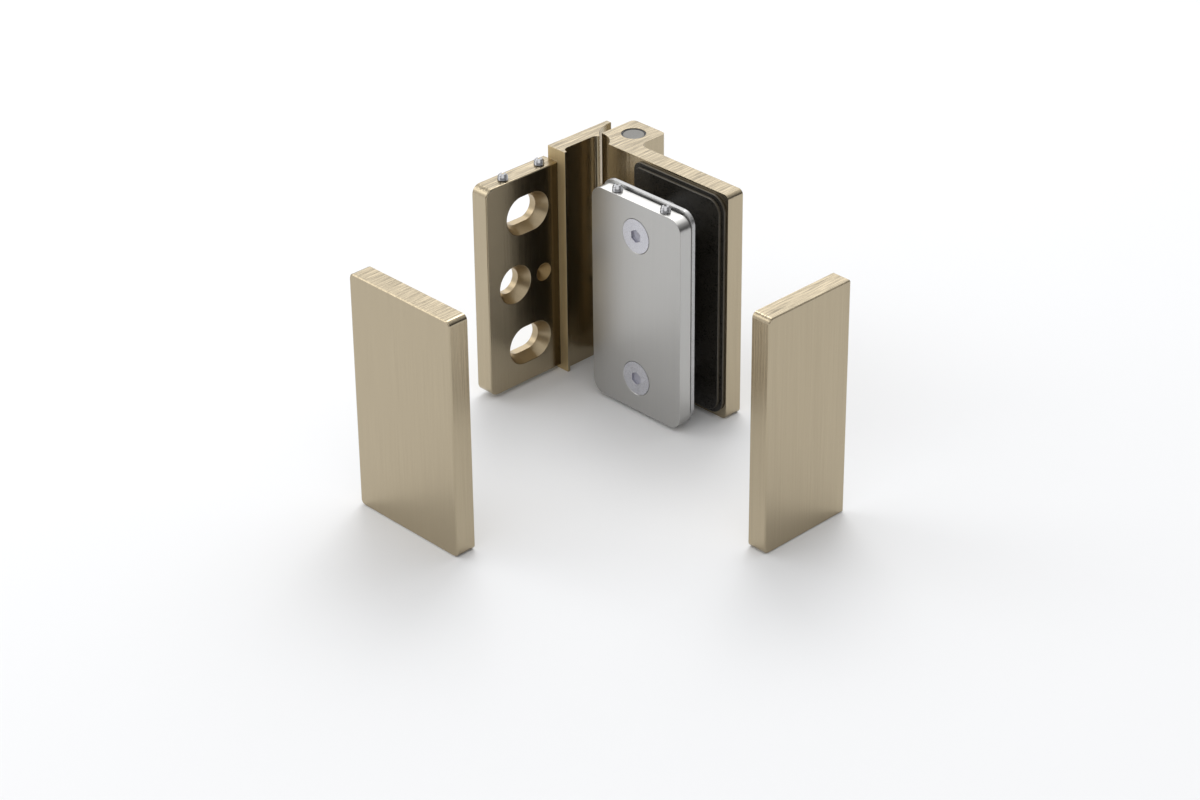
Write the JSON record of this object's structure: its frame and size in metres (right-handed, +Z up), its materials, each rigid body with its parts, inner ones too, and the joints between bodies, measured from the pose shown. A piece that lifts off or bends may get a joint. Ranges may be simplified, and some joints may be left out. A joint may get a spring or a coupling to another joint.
{
  "type": "glass door hinge",
  "caption": "Square wall-to-glass shower door hinge with a side knuckle, slotted wall plate, glass clamp plate and hollow cover caps taken off beside it.",
  "frame": {"origin": "on the wall face of the wall leaf, at the centre of the round screw hole", "axes": "+X away from the wall and along the closed door, +Y along the wall towards the knuckle, +Z up along the hinge pin"},
  "size_m": [0.1484, 0.1511, 0.0899],
  "materials": {
    "brushed_gold": "satin champagne, fine upright brushing",
    "brushed_clamp": "fine upright brushing",
    "screw_steel": "satin",
    "pin_steel": "turned",
    "black_rubber": "matte",
    "pale_pad": "matte",
    "black_polymer": "matte"
  },
  "bodies": {
    "wall_side": {"wall_leaf": "brushed_gold", "hinge_pin": "pin_steel", "pin_lock_screw": "screw_steel", "upper_washer": "black_polymer", "wall_jack_screw_near": "screw_steel", "wall_jack_screw_far": "screw_steel", "wall_cover": "brushed_gold", "clamp_cover": "brushed_gold"},
    "glass_side": {"glass_leaf": "brushed_gold", "clamp_plate": "brushed_clamp", "upper_bush": "black_polymer", "lower_bush": "black_polymer", "lower_washer": "black_polymer", "gasket_sheet": "black_rubber", "gasket_pad": "black_rubber", "clamp_pad": "pale_pad", "clamp_bolt_upper": "screw_steel", "clamp_bolt_lower": "screw_steel", "bolt_sleeve_upper": "pale_pad", "bolt_sleeve_lower": "pale_pad", "clamp_jack_screw_near": "screw_steel", "clamp_jack_screw_far": "screw_steel"}
  },
  "joints": [
    {"name": "door_swing", "type": "hinge", "parent": "wall_side", "child": "glass_side", "pos_m": [0.017, 0.0504, 0], "axis": [0, 0, 1], "range_deg": [0, 90]}
  ]
}
